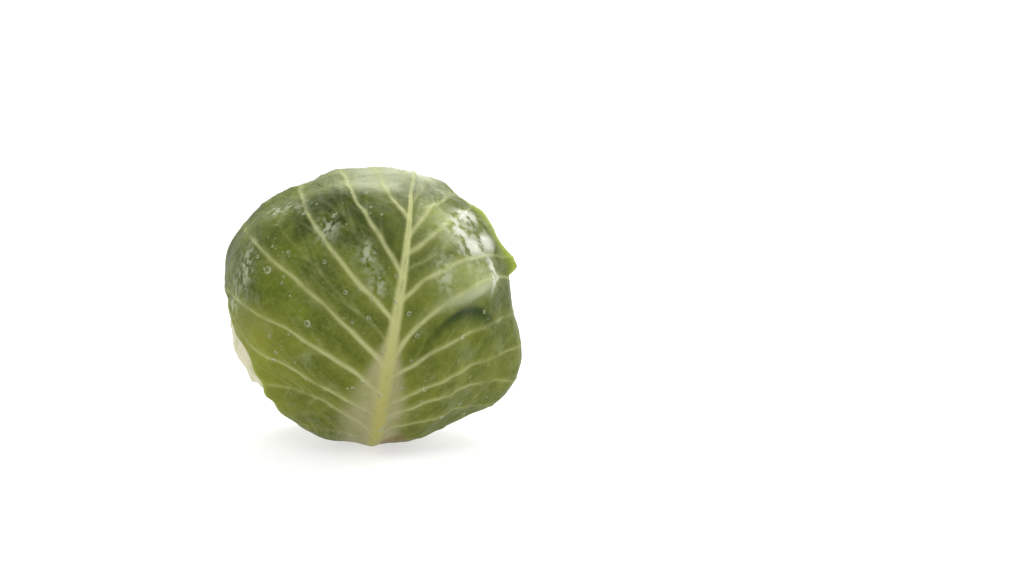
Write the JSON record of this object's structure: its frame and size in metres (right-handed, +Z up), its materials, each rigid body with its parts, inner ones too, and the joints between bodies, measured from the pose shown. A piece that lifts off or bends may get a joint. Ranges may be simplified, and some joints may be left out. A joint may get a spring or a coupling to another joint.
{
  "type": "cabbage head",
  "caption": "Round green cabbage head of overlapping wrapper leaves with raised veins, standing on its trimmed stalk.",
  "frame": {"origin": "centre of the trimmed stalk's flat cut face, on the surface that the head stands on", "axes": "+Z up through the head's core, -Y towards the front leaf with the big midrib, +X to its right as seen from the front"},
  "size_m": [0.1732, 0.1671, 0.161],
  "materials": {
    "leaf_green": "waxy green leaf with paler raised veins",
    "leaf_pale": "waxy pale green inner leaf",
    "stalk_flesh": "pale cut stalk with a browned rim"
  },
  "bodies": {
    "root": {"front_leaf": "leaf_green", "back_left_leaf": "leaf_green", "right_leaf": "leaf_green", "front_left_leaf": "leaf_pale", "back_leaf": "leaf_pale", "heart": "leaf_pale", "stalk": "stalk_flesh"}
  },
  "joints": []
}
